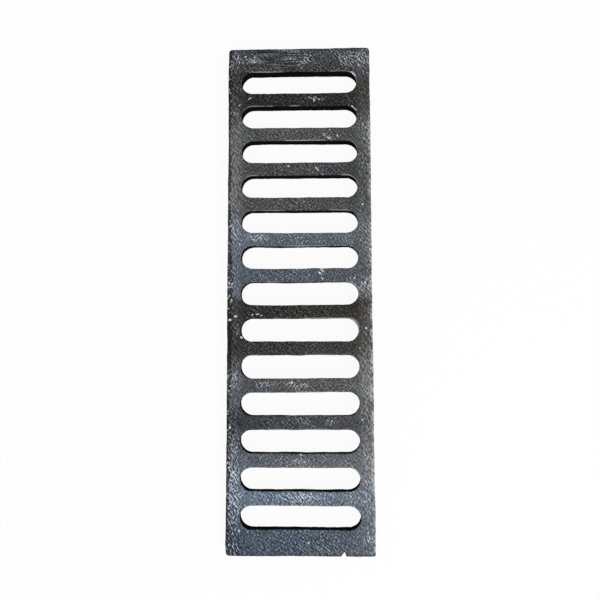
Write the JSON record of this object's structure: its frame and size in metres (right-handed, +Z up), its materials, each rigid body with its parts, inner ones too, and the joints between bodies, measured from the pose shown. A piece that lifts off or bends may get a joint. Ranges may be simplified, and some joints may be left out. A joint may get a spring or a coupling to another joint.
{
  "type": "drain grate",
  "caption": "Long flat rectangular cast-iron grate with a row of round-ended cross slots, laid over a drainage channel to let water through and carry feet and wheels.",
  "frame": {"origin": "middle of the flat underside", "axes": "+X across the grate, along its slots; +Y along its length, away from the chipped end; +Z up, out of the walking face"},
  "size_m": [0.2, 0.7, 0.025],
  "materials": {
    "black_coated_iron": "as-cast iron with a thin black coating, semi-gloss and patchy"
  },
  "bodies": {
    "root": {"cast_grate": "black_coated_iron"}
  },
  "joints": []
}
